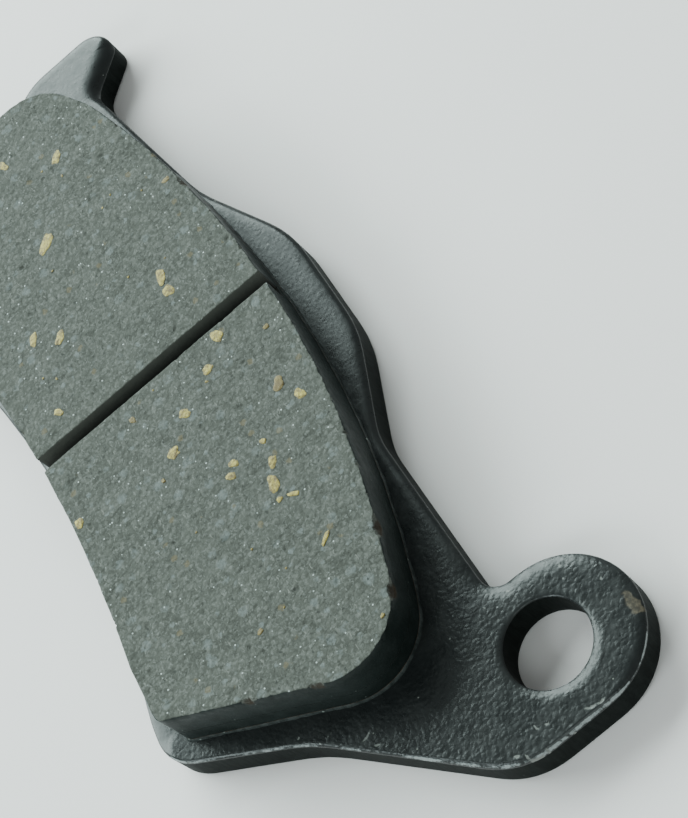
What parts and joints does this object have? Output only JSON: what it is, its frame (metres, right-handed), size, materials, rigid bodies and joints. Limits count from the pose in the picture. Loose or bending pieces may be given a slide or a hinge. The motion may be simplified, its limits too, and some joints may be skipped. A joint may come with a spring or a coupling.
{
  "type": "brake pad",
  "caption": "flat disc brake pad with a pin lug at one end, a hook at the other and a slotted friction block bonded to a stamped steel plate",
  "frame": {"origin": "centre of the bounding box in plan, on the plate's back face", "axes": "+X along the pad towards the pin lug, +Y away from the disc's axis, +Z out of the friction face"},
  "size_m": [0.098, 0.0416, 0.0092],
  "materials": {
    "powder_coat": "satin",
    "adhesive": "satin",
    "underlayer": "matte",
    "friction_compound": "matte"
  },
  "bodies": {
    "root": {"backing_plate": "powder_coat", "adhesive_film": "adhesive", "underlayer": "underlayer", "friction_block_pin_side": "friction_compound", "friction_block_hook_side": "friction_compound"}
  },
  "joints": []
}
